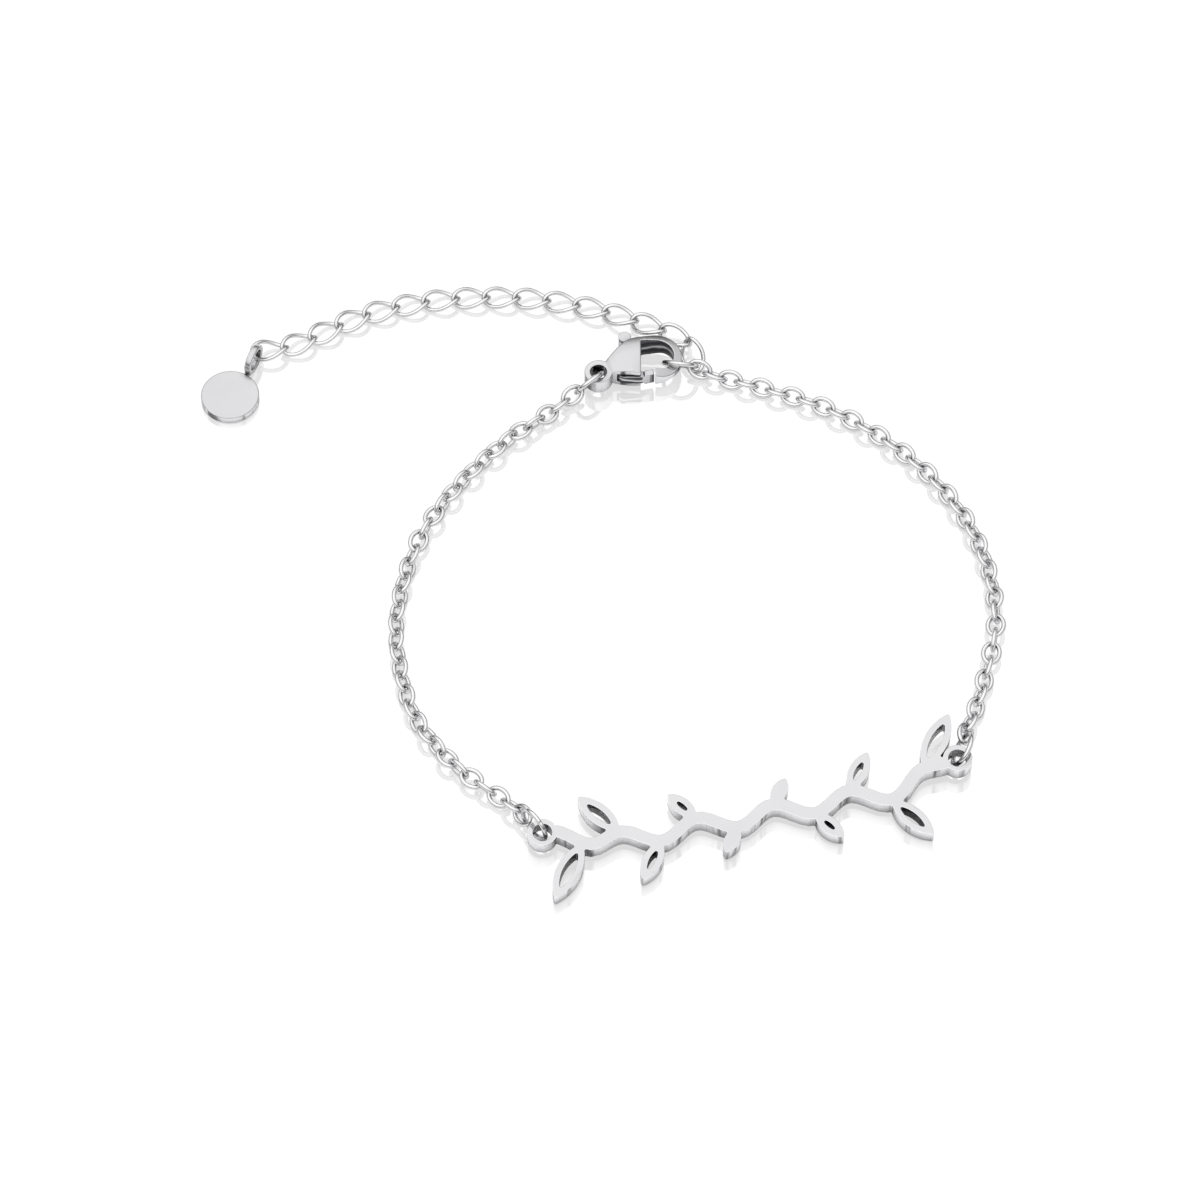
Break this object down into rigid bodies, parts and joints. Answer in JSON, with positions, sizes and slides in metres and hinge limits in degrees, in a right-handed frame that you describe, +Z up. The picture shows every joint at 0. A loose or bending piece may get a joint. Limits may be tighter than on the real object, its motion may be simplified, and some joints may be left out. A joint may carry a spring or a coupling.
{
  "type": "nameplate bracelet",
  "caption": "Slim steel chain bracelet with a cut-out vine plate between two stretches of cable chain, a lobster clasp and an extender that ends in a round tag.",
  "frame": {"origin": "on the table, under the middle of the bracelet's bounding box", "axes": "+Z up from the table, +X to the right as the plate is read, +Y away from the plate towards the clasp"},
  "size_m": [0.078, 0.0705, 0.0037],
  "materials": {
    "nameplate": "polished",
    "chain_left": "polished",
    "chain_right": "polished",
    "ring_plate_left": "polished",
    "ring_plate_right": "polished",
    "ring_clasp": "polished",
    "clasp_body": "polished",
    "clasp_lever": "polished",
    "clasp_pin": "polished",
    "ring_join": "polished",
    "extender_chain": "polished",
    "tag": "polished"
  },
  "bodies": {
    "bracelet": {"nameplate": "nameplate", "chain_left": "chain_left", "chain_right": "chain_right", "ring_plate_left": "ring_plate_left", "ring_plate_right": "ring_plate_right", "ring_clasp": "ring_clasp", "clasp_body": "clasp_body", "clasp_pin": "clasp_pin", "ring_join": "ring_join", "extender_chain": "extender_chain", "tag": "tag"},
    "lever": {"clasp_lever": "clasp_lever"}
  },
  "joints": [
    {"name": "lever_pivot", "type": "hinge", "parent": "bracelet", "child": "lever", "pos_m": [0.00256, 0.02412, 0.0016], "axis": [0, 0, 1], "range_deg": [0, 28], "stiffness_Nm_per_rad": 0.002, "springref_deg": -20.05}
  ]
}
